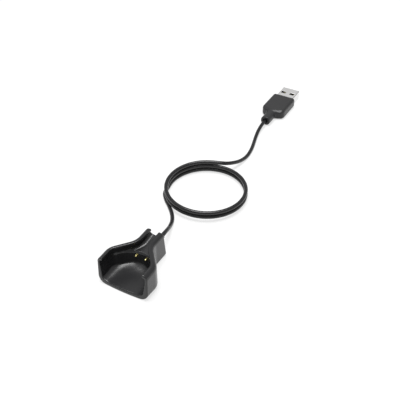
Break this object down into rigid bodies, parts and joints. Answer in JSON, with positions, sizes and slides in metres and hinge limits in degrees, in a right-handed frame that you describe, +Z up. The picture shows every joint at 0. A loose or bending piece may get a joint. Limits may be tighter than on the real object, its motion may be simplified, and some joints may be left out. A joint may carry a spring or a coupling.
{
  "type": "charging cradle",
  "caption": "Bell-shaped scoop cradle with sprung contacts in its back wall, on a thin coiled cord that ends in a USB-A plug.",
  "frame": {"origin": "centre of the cradle's footprint on the table", "axes": "+Z up; +Y from the cradle's open front towards its cord and plug; +X to the right seen from above with the open front towards the viewer"},
  "size_m": [0.048, 0.2149, 0.0162],
  "materials": {
    "cradle_plastic": "moulded, satin",
    "inner_plastic": "moulded, matte",
    "gold_plate": "gold plated, polished",
    "spring_steel": "drawn wire",
    "board": "lacquered laminate",
    "core_red": "extruded",
    "core_black": "extruded",
    "soft_vinyl": "moulded, fine grain",
    "cord_jacket": "extruded, satin",
    "inner_mould": "moulded",
    "shell_metal": "bright nickel plate",
    "tongue_plastic": "moulded"
  },
  "bodies": {
    "cradle": {"cradle_body": "cradle_plastic", "base_cover": "cradle_plastic", "pin_block": "inner_plastic", "pin_barrel_left": "gold_plate", "pin_barrel_right": "gold_plate", "pin_spring_left": "spring_steel", "pin_spring_right": "spring_steel", "contact_board": "board", "supply_core": "core_red", "return_core": "core_black", "strain_relief": "soft_vinyl", "cord_lead": "cord_jacket", "cord_coil": "cord_jacket", "cord_tail": "cord_jacket", "plug_grip": "soft_vinyl", "plug_inner_mould": "inner_mould", "plug_shell": "shell_metal", "plug_tongue": "tongue_plastic", "plug_contact_1": "gold_plate", "plug_contact_2": "gold_plate", "plug_contact_3": "gold_plate", "plug_contact_4": "gold_plate", "plug_supply_core": "core_red", "plug_return_core": "core_black"},
    "left_contact": {"pin_plunger_left": "gold_plate"},
    "right_contact": {"pin_plunger_right": "gold_plate"}
  },
  "joints": [
    {"name": "left_contact_press", "type": "slide", "parent": "cradle", "child": "left_contact", "axis": [0, 1, 0], "range_m": [0, 0.0014], "stiffness_N_per_m": 400, "deforming": ["pin_spring_left"]},
    {"name": "right_contact_press", "type": "slide", "parent": "cradle", "child": "right_contact", "axis": [0, 1, 0], "range_m": [0, 0.0014], "stiffness_N_per_m": 400, "deforming": ["pin_spring_right"]}
  ]
}
